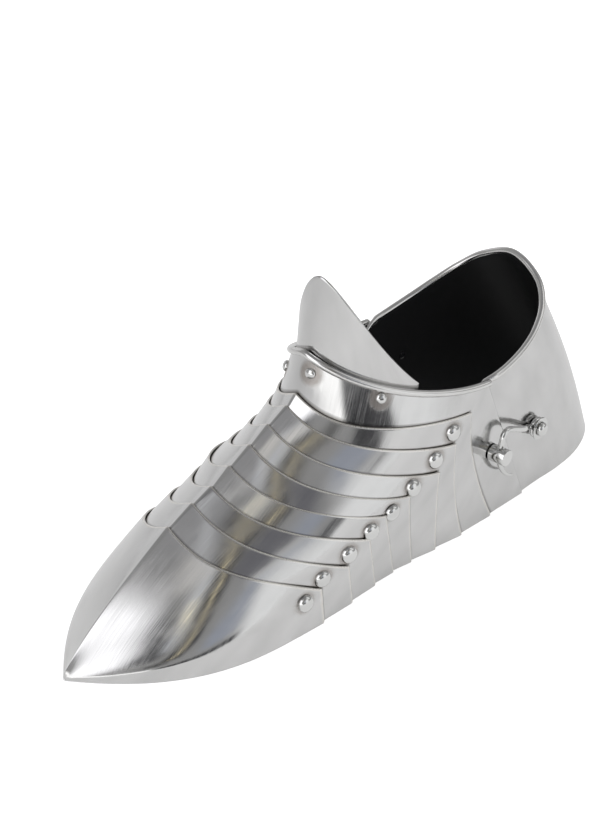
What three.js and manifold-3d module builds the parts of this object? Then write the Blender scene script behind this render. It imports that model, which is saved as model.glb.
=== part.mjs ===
import * as THREE from 'three';
import { mergeVertices } from 'three/addons/utils/BufferGeometryUtils.js';
import Module from 'manifold-3d';

const wasm = await Module();
wasm.setup();

// A left foot's sabaton: an almond-toed cap, seven overlapping lames, an ankle plate with a
// tongue, and a heel plate hinged on the inner side and hooked shut on the outer side.
// Frame: +X towards the toe, +Y the wearer's left (the outer side), +Z up, floor at Z = 0.
// "back" is the distance behind the toe point, "out" the distance from the middle plane.

// Driving dimensions in millimetres
const LENGTH = 361;
const SHEET = 1.2;
const GAP = 0.35;
const STEP = SHEET + GAP;
const LAP = 1.15;
const SEAT = 0.3;
const PEEN_SEAT = 0.35;
const STUD_SEAT = 0.35;
const LEAF_SEAT = 0.4;
const KNUCKLE_GAP = 0.5;

// Beads rolled outwards along the ankle rim, and how far behind the seam the heel's bead begins
const BEAD_RADIUS = 1.6;
const BEAD_SIDES = 6;
const BEAD_START = 2.5;

// Reach of a drill on either side of a surface, and a distance well clear of every plate
const DRILL_REACH = 7;
const OUTSIDE = 90;

// One row for each plate's rear edge, from the toe cap to lame 7, then the ankle rim and its seam.
// The edge runs from the crown over the shoulder to a corner, then down the wall to the floor.
// plan and front are the exponents of the shoulder's curve seen from above and from the front,
// ridge is the slope of the roof beside the medial ridge, flare the bend of the side edge.
const named = (columns, rows) => rows.map((row) => (
  Object.fromEntries(columns.map((key, i) => [key, row[i]]))));
const EDGES = named(
  ['crownBack', 'crownUp', 'back', 'out', 'up', 'footBack', 'footOut', 'plan', 'front', 'ridge', 'flare'],
  [
    [65.2, 56.2, 118, 50, 19.9, 119.5, 50.3, 2.09, 1.96, 0.61, 1],
    [80.5, 62.8, 134.7, 51.5, 26, 141, 47.8, 1.98, 1.74, 0.55, 1],
    [92.5, 66.8, 148.6, 51.5, 35.4, 159.5, 45, 1.82, 1.61, 0.5, 1],
    [104.1, 73.3, 159.8, 51, 43.5, 174, 43.2, 1.84, 1.6, 0.49, 1],
    [117.1, 79.7, 177.2, 50, 46.7, 187, 43, 1.88, 1.51, 0.49, 1.2],
    [129.1, 86.2, 198.9, 49, 50.6, 203.8, 43.5, 1.98, 1.56, 0.5, 1.5],
    [141.2, 91.6, 211.1, 48, 61.4, 223.2, 43.6, 1.98, 1.53, 0.47, 2],
    [147.2, 95.6, 223.2, 46.5, 73.8, 247.5, 41.3, 2.06, 1.48, 0.44, 1.7],
    [154, 115.5, 238.5, 42.5, 83.5, 275.5, 38, 2, 1.3, 0, 1],
  ],
);
const RIM = EDGES.length - 1;

// Toe cap: outline on the floor and height of the ridge
const TOE_OUTLINE = { widestBack: 105, power: 2.75 };
const TOE_RIDGE = { rise: 56.2, runBack: 65.2, power: 0.8 };
const TOE_LIFT = 2;
const TOE_LAP = 0.16;
const TOE_HOLLOW = 0.13;

// Lame rivets on the left side, one row for each, from the toe cap's own to the ankle plate's
const LAME_RIVETS = [
  { back: 107, up: 17.8 },
  { back: 119, up: 25.9 },
  { back: 135.6, up: 32.5 },
  { back: 150.2, up: 39.1 },
  { back: 165.1, up: 43 },
  { back: 180.7, up: 49.8 },
  { back: 197.1, up: 58.2 },
  { back: 210.3, up: 68 },
];
const RIVET = { head: 3.9, dome: 2.9, shank: 1.9, peen: 2.9, peenHeight: 1, sides: 8 };
const HOLE_CLEARANCE = 0.3;

// Heel plate: stations from the seam round to the middle of the back, rim row and floor row
const HEEL = named(
  ['rimBack', 'rimOut', 'rimUp', 'footBack', 'footOut', 'bulge'],
  [
    [253, 40.7, 86.2, 290, 34.9, 0.4],
    [268, 38.8, 90.5, 308, 33.6, 0.8],
    [281, 35.1, 96.2, 326, 30, 1.4],
    [292, 28.7, 103.5, 342.5, 23, 2.2],
    [299, 18.2, 111.7, 355, 13, 2.9],
    [301.2, 0, 118.2, 360.2, 0, 3],
  ],
);
const HEEL_FLAP = { reach: 0.22, tuck: 1 };
const HEEL_DOWN = [0, 0.2, 0.45, 0.72, 1];

// Tongue: a shield-shaped plate riveted inside the front of the ankle rim
const TONGUE = {
  middle: 3.5, halfWidth: 30.7, peak: 154.8, fall: 0.1074, power: 1.8, lean: 0.1, tuck: 0.65,
};
const TONGUE_RIVETS = [
  { name: 'right', out: -20, up: 97.5 },
  { name: 'middle', out: 4.9, up: 106.6 },
  { name: 'left', out: 30, up: 94.4 },
];
const SMALL_RIVET = { head: 2.7, dome: 2, shank: 1.3, peen: 2, peenHeight: 0.8, sides: 8 };

// Hook latch on the outer side: the hook turns on a rivet in the heel plate, and its end runs
// down through the stud on the ankle plate, along an arc about that rivet.
const PIVOT = { back: 282, up: 38.5 };
const STUD = {
  back: 246, up: 39.5, radius: 4.5, length: 9.5, bevel: 0.5, hole: 2.1, shank: 2.4, peen: 3.4,
  peenHeight: 1,
};
const HOOK = {
  wire: 1.55, eye: 4.1, reach: 36, start: 23, finish: -33, tip: 0.7, taper: 0.62, height: 4.75,
  riseFrom: 8, riseTo: 18, sides: 8,
};
const WASHER = { radius: 6.2, bore: 2.6, thick: 1 };
const PIVOT_RIVET = { head: 3.8, dome: 2.8, shank: 2.1, peen: 3.2, peenHeight: 1, sides: 12 };

// Sides of the parts turned to a finer circle, and of the hinge's knuckles and pin
const ROUND_SIDES = 20;
const KNUCKLE_SIDES = 14;

// Hinge on the inner side: two leaves, three knuckles and a pin along the seam
const HINGE = { up: 57.5, half: 8.5, leaf: 19, corner: 8, thick: 1.2, knuckle: 2.6, bore: 1.5, pin: 1.2 };
const HINGE_RIVET = { ...SMALL_RIVET, at: 11.7 };
const LEAF_REACHES = [0, 0.16, 0.36, 0.6, 0.78, 0.92, 1];
const KNUCKLE_ROOM = 0.45;
const PIN = { clear: 0.4, headHeight: 0.9, headOver: 0.5 };

// Points nearer than this are one point, and the step taken either way to find a skin's normal
const WELD = 1e-4;
const NUDGE = 0.02;

const steel = (roughness, colour = 0xc9cacb) =>
  new THREE.MeshStandardMaterial({ color: colour, roughness, metalness: 1 });
const STEEL = steel(0.22);
const BRIGHT = steel(0.15, 0xd6d6d4);

const X = (back) => LENGTH / 2 - back;
const mix = THREE.MathUtils.lerp;
const point = (back, out, up) => new THREE.Vector3(X(back), out, up);

// Row of the edge table at any station between two plates' rear edges
function edgeAt(station) {
  const low = THREE.MathUtils.clamp(Math.floor(station), 0, RIM - 1);
  const between = station - low;
  const row = {};
  for (const key of Object.keys(EDGES[0])) {
    row[key] = mix(EDGES[low][key], EDGES[low + 1][key], between);
  }
  return row;
}

// Point of an edge: across runs from 0 at the crown to 1 at the corner and 2 on the floor
function edgePoint(row, across) {
  const side = Math.sign(across) || 1;
  const a = Math.abs(across);
  if (a > 1) {
    const down = a - 1;
    return point(
      mix(row.back, row.footBack, down ** row.flare),
      side * mix(row.out, row.footOut, down),
      row.up * (1 - down),
    );
  }
  const t = Math.sin((a * Math.PI) / 2);
  const sweep = 1 - (1 - t ** row.plan) ** (1 / row.plan);
  const drop = (1 - t ** row.front) ** (1 / row.front);
  return point(
    mix(row.crownBack, row.back, sweep),
    side * row.out * t,
    mix(row.up, row.crownUp, drop) - row.ridge * row.out * t * (1 - t),
  );
}

const toeHalfWidth = (back) => {
  const ahead = Math.max(0, 1 - back / TOE_OUTLINE.widestBack);
  return Math.max(0, 1 - ahead ** TOE_OUTLINE.power);
};
const ridgeHeight = (back) => {
  const lift = TOE_RIDGE.rise - TOE_LIFT;
  return TOE_LIFT + lift * (Math.max(back, 0) / TOE_RIDGE.runBack) ** TOE_RIDGE.power;
};

// Toe cap's skin: every point of its rear edge is drawn forwards to the toe point, narrowing with
// the outline and sinking with the ridge. along is 0 at the toe point and 1 at the rear edge.
function toePoint(along, across) {
  const end = edgePoint(EDGES[0], across);
  const endBack = LENGTH / 2 - end.x;
  const back = endBack * along;
  const narrow = toeHalfWidth(back) / toeHalfWidth(endBack);
  const sink = ridgeHeight(back) / ridgeHeight(endBack);
  const shoulder = Math.sin(Math.PI * Math.min(1, Math.abs(across)));
  const hollow = 1 - TOE_HOLLOW * (1 - along) * shoulder;
  return point(back, end.y * narrow * hollow, end.z * sink * hollow);
}

// Outer skin at a station: the toe cap's ahead of station 0, the lames' and ankle plate's behind it
function skin(station, across) {
  if (station < 0) return toePoint(Math.max(0, 1 + TOE_LAP * station), across);
  return edgePoint(edgeAt(station), across);
}

function skinNormal(station, across) {
  const side = across < 0 ? -1 : 1;
  const a = Math.abs(across);
  const sum = new THREE.Vector3();
  const spans = a < NUDGE ? [[0, NUDGE]] : [[a - NUDGE, a], [a, Math.min(2, a + NUDGE)]];
  for (const [from, to] of spans) {
    if (to - from < 1e-6) continue;
    const mid = (from + to) / 2;
    const wide = skin(station, to).sub(skin(station, from));
    const long = skin(station + NUDGE, mid).sub(skin(station - NUDGE, mid));
    sum.add(wide.cross(long).normalize());
  }
  if (a < NUDGE) {
    const lean = Math.hypot(sum.x, sum.z);
    return new THREE.Vector3(sum.x, 0, sum.z).divideScalar(lean * lean);
  }
  sum.normalize();
  return new THREE.Vector3(sum.x, side * sum.y, sum.z);
}

function closed(geometry) {
  geometry.deleteAttribute('normal');
  geometry.deleteAttribute('uv');
  return mergeVertices(geometry, WELD);
}

// Closed sheet from two grids of points, an outer and an inner face with the same rows
function sheet(outer, inner) {
  const rows = outer.length;
  const columns = outer[0].length;
  const positions = [];
  const put = (p) => positions.push(p.x, p.y, p.z);
  const triangle = (a, b, c) => {
    put(a);
    put(c);
    put(b);
  };
  const quad = (a, b, c, d) => {
    triangle(a, b, c);
    triangle(a, c, d);
  };
  for (let r = 0; r + 1 < rows; r += 1) {
    for (let c = 0; c + 1 < columns; c += 1) {
      quad(outer[r][c], outer[r + 1][c], outer[r + 1][c + 1], outer[r][c + 1]);
      quad(inner[r][c], inner[r][c + 1], inner[r + 1][c + 1], inner[r + 1][c]);
    }
    const last = columns - 1;
    quad(outer[r][0], inner[r][0], inner[r + 1][0], outer[r + 1][0]);
    quad(outer[r][last], outer[r + 1][last], inner[r + 1][last], inner[r][last]);
  }
  for (let c = 0; c + 1 < columns; c += 1) {
    const last = rows - 1;
    quad(outer[0][c], outer[0][c + 1], inner[0][c + 1], inner[0][c]);
    quad(outer[last][c], inner[last][c], inner[last][c + 1], outer[last][c + 1]);
  }
  const geometry = new THREE.BufferGeometry();
  geometry.setAttribute('position', new THREE.Float32BufferAttribute(positions, 3));
  return mergeVertices(geometry, WELD);
}

function toSolid(geometry) {
  const merged = geometry.index ? geometry : closed(geometry);
  return new wasm.Manifold(new wasm.Mesh({
    numProp: 3,
    vertProperties: new Float32Array(merged.attributes.position.array),
    triVerts: new Uint32Array(merged.index.array),
  }));
}

function toGeometry(solid) {
  const result = solid.getMesh();
  const geometry = new THREE.BufferGeometry();
  geometry.setAttribute('position', new THREE.BufferAttribute(result.vertProperties, 3));
  geometry.setIndex(new THREE.BufferAttribute(result.triVerts, 1));
  return geometry;
}

// Closed round bar along stations that each give a centre and a direction across the bar
function sweep(stations, radiusAt, sides) {
  const rings = stations.map(({ centre, normal }, i) => {
    const before = stations[Math.max(0, i - 1)].centre;
    const after = stations[Math.min(stations.length - 1, i + 1)].centre;
    const tangent = after.clone().sub(before).normalize();
    const up = normal.clone().addScaledVector(tangent, -normal.dot(tangent)).normalize();
    const sideways = tangent.clone().cross(up);
    const radius = radiusAt(i / (stations.length - 1));
    return Array.from({ length: sides }, (_, k) => {
      const turn = (2 * Math.PI * (k + 0.5)) / sides;
      return centre.clone()
        .addScaledVector(up, radius * Math.cos(turn))
        .addScaledVector(sideways, radius * Math.sin(turn));
    });
  });
  const positions = [];
  const triangle = (...corners) => corners.forEach((p) => positions.push(p.x, p.y, p.z));
  const next = (k) => (k + 1) % sides;
  for (let i = 0; i + 1 < rings.length; i += 1) {
    for (let k = 0; k < sides; k += 1) {
      triangle(rings[i][k], rings[i][next(k)], rings[i + 1][next(k)]);
      triangle(rings[i][k], rings[i + 1][next(k)], rings[i + 1][k]);
    }
  }
  const last = rings[rings.length - 1];
  for (let k = 1; k + 1 < sides; k += 1) {
    triangle(rings[0][0], rings[0][k + 1], rings[0][k]);
    triangle(last[0], last[k], last[k + 1]);
  }
  const geometry = new THREE.BufferGeometry();
  geometry.setAttribute('position', new THREE.Float32BufferAttribute(positions, 3));
  return toSolid(mergeVertices(geometry, WELD));
}

const placed = (geometry, matrix) => closed(geometry).applyMatrix4(matrix);

// Matrix that stands a shape's +Y axis on a surface point, along its normal
function standOn(origin, normal) {
  const turn = new THREE.Quaternion().setFromUnitVectors(new THREE.Vector3(0, 1, 0), normal);
  return new THREE.Matrix4().compose(origin, turn, new THREE.Vector3(1, 1, 1));
}

// Stations across a plate, from the right floor edge over the crown to the left floor edge
const HALF_ACROSS = [0, 0.14, 0.32, 0.5, 0.66, 0.82, 1, 1.34, 1.67, 2];
const ACROSS = [...HALF_ACROSS.slice(1).reverse().map((a) => -a), ...HALF_ACROSS];

// One plate's two faces. Each plate lies under the one ahead of it and over the one behind, so
// its skin sinks by one step for each station ahead of its own rear edge.
function plateFaces(rearStation, stations) {
  const face = (depth) => stations.map((station) => ACROSS.map((across) => {
    const sunk = STEP * (rearStation - station) + depth;
    const p = skin(station, across).addScaledVector(skinNormal(station, across), -sunk);
    if (Math.abs(across) === 2) p.z = 0;
    return p;
  }));
  return [face(0), face(SHEET)];
}

// Solids by name, each cut and joined here before it becomes a mesh
const solids = {};
const plateName = (i) => {
  if (i === 0) return 'toe_cap';
  return i === RIM ? 'instep_plate' : `lame_${i}`;
};

// Toe cap: no plate lies over it, so its skin is the outer one all the way to the point, where
// the steel is solid. Its inner face stops short of the point.
const TOE_REAR = [0.47, 0.63, 1 - TOE_LAP * LAP, 0.91, 1];
const TOE_OUTER = [0.012, 0.05, 0.11, 0.2, 0.32, ...TOE_REAR];
const TOE_INNER = [0.11, 0.13, 0.17, 0.23, 0.33, ...TOE_REAR];

function toeFace(alongs, depth) {
  return alongs.map((along) => ACROSS.map((across) => {
    const station = (along - 1) / TOE_LAP;
    const p = skin(station, across);
    if (depth > 0) p.addScaledVector(skinNormal(station, across), -depth);
    if (Math.abs(across) === 2) p.z = 0;
    return p;
  }));
}

solids.toe_cap = toSolid(sheet(toeFace(TOE_OUTER, 0), toeFace(TOE_INNER, SHEET)));
for (let lame = 1; lame < RIM; lame += 1) {
  const middle = lame === 1 ? -LAP / 2 : lame - 2;
  const faces = plateFaces(lame, [lame - 1 - LAP, middle, lame - 1, lame]);
  solids[plateName(lame)] = toSolid(sheet(...faces));
}

// A bead rolled outwards along an edge, its inner side level with the sheet's inner face
function bead(edge) {
  const stations = edge.map(({ place, normal }) => ({
    centre: place.clone().addScaledVector(normal, BEAD_RADIUS - SHEET),
    normal,
  }));
  return sweep(stations, () => BEAD_RADIUS, BEAD_SIDES);
}

// Ankle plate, with its rim
const INSTEP_STATIONS = [RIM - 1 - LAP, RIM - 2, RIM - 1, RIM - 0.65, RIM - 0.3, RIM];
const RIM_COLUMNS = 20;
const rimEdge = Array.from({ length: RIM_COLUMNS + 1 }, (_, i) => {
  const across = (2 * i) / RIM_COLUMNS - 1;
  return { place: skin(RIM, across), normal: skinNormal(RIM, across).normalize() };
});
solids.instep_plate = toSolid(sheet(...plateFaces(RIM, INSTEP_STATIONS))).add(bead(rimEdge));

// Heel plate: two flaps tuck inside the ankle plate, and the rest runs round the back
function heelNormals() {
  return HEEL.map((row, i) => {
    const before = HEEL[Math.max(0, i - 1)];
    const after = HEEL[i + 1] ?? { rimBack: before.rimBack, rimOut: -before.rimOut };
    return new THREE.Vector3(after.rimOut - before.rimOut, after.rimBack - before.rimBack, 0).normalize();
  });
}

function heelColumns(depth) {
  const flap = [RIM - HEEL_FLAP.reach, RIM].map((station) => {
    const tuck = station < RIM ? HEEL_FLAP.tuck : 0;
    const sunk = STEP * (1 + RIM - station) + tuck + depth;
    return HEEL_DOWN.map((down) => {
      const p = skin(station, 1 + down).addScaledVector(skinNormal(station, 1 + down), -sunk);
      if (down === 1) p.z = 0;
      return p;
    });
  });
  const normals = heelNormals();
  const wall = HEEL.map((row, i) => {
    const rim = point(row.rimBack, row.rimOut, row.rimUp);
    const foot = point(row.footBack, row.footOut, 0);
    return HEEL_DOWN.map((down) => {
      const swell = row.bulge * Math.sin(Math.PI * down) - depth;
      const p = rim.clone().lerp(foot, down).addScaledVector(normals[i], swell);
      if (row.rimOut === 0) p.y = 0;
      return p;
    });
  });
  const half = [...flap, ...wall];
  const mirror = (column) => column.map((p) => new THREE.Vector3(p.x, -p.y, p.z));
  return [...half.map(mirror), ...half.slice(0, -1).reverse()];
}

const byRows = (columns) => columns[0].map((_, r) => columns.map((column) => column[r]));
const heelOuter = heelColumns(0);
const heelInner = heelColumns(SHEET);
const heelEdge = heelOuter.map((column, i) => ({
  place: column[0].clone(),
  normal: column[0].clone().sub(heelInner[i][0]).normalize(),
})).slice(1, -1);
for (const end of [heelEdge[0], heelEdge[heelEdge.length - 1]]) end.place.x -= BEAD_START;
solids.heel_plate = toSolid(sheet(byRows(heelOuter), byRows(heelInner))).add(bead(heelEdge));

// Tongue: its foot follows the inside of the ankle plate, and above the rim it stands up
const TONGUE_COLUMNS = 10;
const TONGUE_STATIONS = [RIM - 0.55, RIM - 0.28, RIM];
const TONGUE_RISES = [0.25, 0.5, 0.75, 1];

function tongueFaces() {
  const columns = Array.from({ length: TONGUE_COLUMNS + 1 }, (_, i) => {
    const aside = ((2 * i) / TONGUE_COLUMNS - 1) * TONGUE.halfWidth;
    const out = TONGUE.middle + aside;
    const foot = TONGUE_STATIONS.map((station) => {
      const across = (2 * Math.asin(out / edgeAt(station).out)) / Math.PI;
      const normal = skinNormal(station, across);
      const sunk = STEP * (1 + RIM - station) + TONGUE.tuck;
      return { place: skin(station, across).addScaledVector(normal, -sunk), normal };
    });
    const { place: seat, normal } = foot[foot.length - 1];
    const level = new THREE.Vector3(normal.x, normal.y, 0).normalize();
    const top = TONGUE.peak - TONGUE.fall * Math.abs(aside) ** TONGUE.power;
    const blade = TONGUE_RISES.map((rise) => {
      const up = (top - seat.z) * rise;
      const place = seat.clone().add(new THREE.Vector3(-TONGUE.lean * up, 0, up));
      return { place, normal: level };
    });
    return [...foot, ...blade];
  });
  const face = (depth) => byRows(columns.map((column) => (
    column.map(({ place, normal }) => place.clone().addScaledVector(normal, -depth)))));
  return [face(0), face(SHEET)];
}
solids.tongue = toSolid(sheet(...tongueFaces()));

// Distances at which a straight line enters and leaves a solid, and the face it enters by
function strike(name, from, heading) {
  const surface = new THREE.MeshBasicMaterial({ side: THREE.DoubleSide });
  const target = new THREE.Mesh(toGeometry(solids[name]), surface);
  const hits = new THREE.Raycaster(from, heading).intersectObject(target);
  const [first, second] = hits;
  return {
    place: first.point,
    normal: first.face.normal,
    enters: first.distance,
    leaves: second.distance,
  };
}

// A rivet turned about +Y: the head stands on the outermost layer's highest point under it, and
// the peen stands behind the innermost layer's lowest
function rivetShape(size, high, low) {
  const seat = high + SEAT;
  const back = low - PEEN_SEAT;
  const profile = [
    [0, back - size.peenHeight],
    [size.peen, back],
    [size.shank, back],
    [size.shank, seat],
    [size.head, seat],
    [size.head * 0.88, seat + size.dome * 0.5],
    [size.head * 0.5, seat + size.dome * 0.88],
    [0, seat + size.dome],
  ];
  return turned(profile, size.sides);
}

function turned(profile, sides) {
  return closed(new THREE.LatheGeometry(profile.map(([r, h]) => new THREE.Vector2(r, h)), sides));
}

function cylinder(radius, from, to, sides) {
  const shape = new THREE.CylinderGeometry(radius, radius, to - from, sides);
  return shape.translate(0, (from + to) / 2, 0);
}

const holeRadius = (size) => (size.shank + HOLE_CLEARANCE) / Math.cos(Math.PI / size.sides);

function drill(name, stand, size) {
  const cutter = cylinder(holeRadius(size), -DRILL_REACH, DRILL_REACH, size.sides);
  solids[name] = solids[name].subtract(toSolid(placed(cutter, stand)));
}

// Heights above a stand at which the lines round a ring, and its middle, enter or leave a solid
function heights(name, stand, radius, end) {
  const inwards = new THREE.Vector3(0, -1, 0).transformDirection(stand);
  return [0, 1, 2, 3, 4, 5, 6].map((k) => {
    const turn = (k * Math.PI) / 3;
    const r = k === 0 ? 0 : radius;
    const from = new THREE.Vector3(r * Math.cos(turn), DRILL_REACH, r * Math.sin(turn));
    return DRILL_REACH - strike(name, from.applyMatrix4(stand), inwards)[end];
  });
}

// Rivets layers of plate together where a line from outside meets the outermost layer
function setRivet(name, size, layers, from, heading) {
  const { place, normal } = strike(layers[0], from, heading);
  const stand = standOn(place, normal);
  const high = Math.max(...heights(layers[0], stand, size.head, 'enters'));
  const low = Math.min(...heights(layers[layers.length - 1], stand, size.peen, 'leaves'));
  for (const layer of layers) drill(layer, stand, size);
  solids[name] = toSolid(rivetShape(size, high, low).applyMatrix4(stand));
}

for (const side of [-1, 1]) {
  const inwards = new THREE.Vector3(0, -side, 0);
  LAME_RIVETS.forEach((row, i) => {
    const name = `lame_rivet_${side > 0 ? 'left' : 'right'}_${i + 1}`;
    const from = point(row.back, side * OUTSIDE, row.up);
    setRivet(name, RIVET, [plateName(i), plateName(i + 1)], from, inwards);
  });
}

for (const { name, out, up } of TONGUE_RIVETS) {
  const from = point(-OUTSIDE, out, up);
  const backwards = new THREE.Vector3(-1, 0, 0);
  setRivet(`tongue_rivet_${name}`, SMALL_RIVET, ['instep_plate', 'tongue'], from, backwards);
}

// Latch frame: origin on the heel plate at the pivot, x forwards to the stud, y outwards, z up
const fromLeft = new THREE.Vector3(0, -1, 0);
const pivotSeat = strike('heel_plate', point(PIVOT.back, OUTSIDE, PIVOT.up), fromLeft);
const studSeat = strike('instep_plate', point(STUD.back, OUTSIDE, STUD.up), fromLeft);
const forwards = studSeat.place.clone().sub(pivotSeat.place).normalize();
const outwards = pivotSeat.normal.clone().add(studSeat.normal);
outwards.addScaledVector(forwards, -outwards.dot(forwards)).normalize();
const latchFrame = (origin) => new THREE.Matrix4()
  .makeBasis(forwards, outwards, forwards.clone().cross(outwards))
  .setPosition(origin);
const pivotFrame = latchFrame(pivotSeat.place);
const studFrame = latchFrame(studSeat.place);

// Stud: a round boss with its shank peened behind the ankle plate. The slot for the hook runs
// up and down through it and is open to the rear.
const studBack = Math.min(...heights('instep_plate', studFrame, STUD.peen, 'leaves')) - PEEN_SEAT;
const studHigh = Math.max(...heights('instep_plate', studFrame, STUD.radius, 'enters')) + STUD_SEAT;
const stud = toSolid(turned([
  [0, studBack - STUD.peenHeight],
  [STUD.peen, studBack - STUD.peenHeight],
  [STUD.peen, studBack],
  [STUD.shank, studBack],
  [STUD.shank, studHigh],
  [STUD.radius, studHigh],
  [STUD.radius, STUD_SEAT + STUD.length - STUD.bevel],
  [STUD.radius - STUD.bevel, STUD_SEAT + STUD.length],
  [0, STUD_SEAT + STUD.length],
], ROUND_SIDES));
const slotLength = STUD.radius + STUD.hole + 1;
const slot = new THREE.BoxGeometry(slotLength, 2 * STUD.hole, 4 * STUD.radius);
slot.translate(STUD.hole - slotLength / 2, HOOK.height, 0);
solids.latch_stud = stud.subtract(toSolid(closed(slot))).transform(studFrame.elements);
drill('instep_plate', studFrame, { shank: STUD.shank, sides: ROUND_SIDES });

// Hook: a wire eye about the pivot, an arm that rises clear of the seam, and an arc about the
// pivot that tapers to its tip
const eyeBase = Math.max(...heights('heel_plate', pivotFrame, HOOK.eye + HOOK.wire, 'enters'));
const eyeHeight = eyeBase + SEAT + HOOK.wire;
const eye = toSolid(closed(new THREE.TorusGeometry(HOOK.eye, HOOK.wire, HOOK.sides, ROUND_SIDES)
  .rotateX(Math.PI / 2).translate(0, eyeHeight, 0)));
const onArc = (radius, degrees, height) => new THREE.Vector3(
  radius * Math.cos(THREE.MathUtils.degToRad(degrees)),
  height,
  radius * Math.sin(THREE.MathUtils.degToRad(degrees)),
);
const armPoints = [
  onArc(HOOK.eye, HOOK.start, eyeHeight),
  onArc(HOOK.riseFrom, HOOK.start, eyeHeight),
  onArc((HOOK.riseFrom + HOOK.riseTo) / 2, HOOK.start, mix(eyeHeight, HOOK.height, 0.6)),
  onArc(HOOK.riseTo, HOOK.start, HOOK.height),
  onArc(HOOK.reach - 4.5, HOOK.start, HOOK.height),
  onArc(HOOK.reach - 1.4, HOOK.start - 1.6, HOOK.height),
];
const ARC_STEPS = 9;
for (let i = 0; i <= ARC_STEPS; i += 1) {
  armPoints.push(onArc(HOOK.reach, mix(HOOK.start - 6, HOOK.finish, i / ARC_STEPS), HOOK.height));
}
const acrossHook = new THREE.Vector3(0, 1, 0);
const tapered = (along) => (
  mix(HOOK.wire, HOOK.tip, Math.max(0, (along - HOOK.taper) / (1 - HOOK.taper))));
const armStations = armPoints.map((centre) => ({ centre, normal: acrossHook }));
const arm = sweep(armStations, tapered, HOOK.sides);
solids.latch_hook = eye.add(arm).transform(pivotFrame.elements);

// Washer over the eye, and the rivet that holds both to the heel plate
const washerBase = eyeHeight + HOOK.wire + SEAT;
const washer = toSolid(closed(
  cylinder(WASHER.radius, washerBase, washerBase + WASHER.thick, ROUND_SIDES),
));
const washerHole = toSolid(closed(
  cylinder(WASHER.bore, washerBase - DRILL_REACH, washerBase + DRILL_REACH, ROUND_SIDES),
));
solids.latch_washer = washer.subtract(washerHole).transform(pivotFrame.elements);
const washerTop = washerBase + WASHER.thick;
const pivotBack = Math.min(...heights('heel_plate', pivotFrame, PIVOT_RIVET.peen, 'leaves'));
drill('heel_plate', pivotFrame, PIVOT_RIVET);
solids.latch_rivet = toSolid(rivetShape(PIVOT_RIVET, washerTop, pivotBack))
  .transform(pivotFrame.elements);

// Hinge frame on the right side: x forwards along the wall, y outwards, z up the wall
const seamTop = skin(RIM, -1);
const seamFoot = skin(RIM, -2);
const seamAt = seamTop.clone().lerp(seamFoot, (seamTop.z - HINGE.up) / (seamTop.z - seamFoot.z));
const seamAxis = seamTop.clone().sub(seamFoot).normalize();
const wallAt = (plate, side) => {
  const from = seamAt.clone().add(new THREE.Vector3(side * HINGE.leaf * 0.7, -OUTSIDE, 0));
  return strike(plate, from, new THREE.Vector3(0, 1, 0)).place;
};
const ahead = wallAt('instep_plate', 1);
const behind = wallAt('heel_plate', -1);
const alongWall = ahead.clone().sub(behind);
alongWall.addScaledVector(seamAxis, -alongWall.dot(seamAxis)).normalize();
const offWall = seamAxis.clone().cross(alongWall).normalize();
if (offWall.y > 0) offWall.negate();
const knuckleCentre = seamAt.clone().addScaledVector(offWall, HINGE.knuckle + SEAT + LEAF_SEAT);

// A leaf follows the wall under it, a short gap away, with its outer corners rounded
function leaf(plate, side) {
  const level = new THREE.Vector3(alongWall.x, alongWall.y, 0).normalize();
  const slant = seamAxis.x / seamAxis.z;
  const columns = LEAF_REACHES.map((reach) => {
    const past = Math.max(0, reach * HINGE.leaf - (HINGE.leaf - HINGE.corner));
    const half = HINGE.half - HINGE.corner + Math.sqrt(HINGE.corner ** 2 - past ** 2);
    return [-1, 0, 1].map((share) => {
      const up = share * half;
      const start = up * slant;
      const out = mix(start, side * HINGE.leaf, reach);
      const from = seamAt.clone().addScaledVector(level, out).addScaledVector(offWall, DRILL_REACH);
      from.z = HINGE.up + up;
      const inwards = offWall.clone().negate();
      const depth = reach === 0 ? DRILL_REACH : strike(plate, from, inwards).enters;
      return from.addScaledVector(inwards, depth - LEAF_SEAT);
    });
  });
  if (side > 0) columns.reverse();
  columns.forEach((column) => column.reverse());
  const inner = byRows(columns);
  const outer = inner.map((row) => row.map((p) => p.clone().addScaledVector(offWall, HINGE.thick)));
  return toSolid(sheet(outer, inner));
}

const knuckleStand = standOn(knuckleCentre, seamAxis);
const PIN_HEAD = HINGE.pin + PIN.headOver;
const KNUCKLE_ENDS = [-HINGE.half, -HINGE.half / 3, HINGE.half / 3, HINGE.half];
const tube = (radius, from, to) => toSolid(placed(cylinder(radius, from, to, KNUCKLE_SIDES), knuckleStand));
function knuckled(name, plate, side, mine) {
  let shape = leaf(plate, side);
  for (let i = 0; i < KNUCKLE_ENDS.length - 1; i += 1) {
    const from = KNUCKLE_ENDS[i];
    const to = KNUCKLE_ENDS[i + 1];
    if (mine.includes(i)) continue;
    const low = i === 0 ? from - HINGE.knuckle : from - KNUCKLE_GAP;
    const high = i === 2 ? to + HINGE.knuckle : to + KNUCKLE_GAP;
    shape = shape.subtract(tube(HINGE.knuckle + KNUCKLE_ROOM, low, high));
  }
  for (const i of mine) {
    const from = KNUCKLE_ENDS[i] + (i > 0 ? KNUCKLE_GAP / 2 : 0);
    const to = KNUCKLE_ENDS[i + 1] - (i < 2 ? KNUCKLE_GAP / 2 : 0);
    shape = shape.add(tube(HINGE.knuckle, from, to));
  }
  const pinRoom = tube(PIN_HEAD + HOLE_CLEARANCE, HINGE.half, 2 * HINGE.half)
    .add(tube(PIN_HEAD + HOLE_CLEARANCE, -2 * HINGE.half, -HINGE.half));
  const bore = tube(HINGE.bore, -2 * HINGE.half, 2 * HINGE.half);
  solids[name] = shape.subtract(bore).subtract(pinRoom);
}
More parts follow.
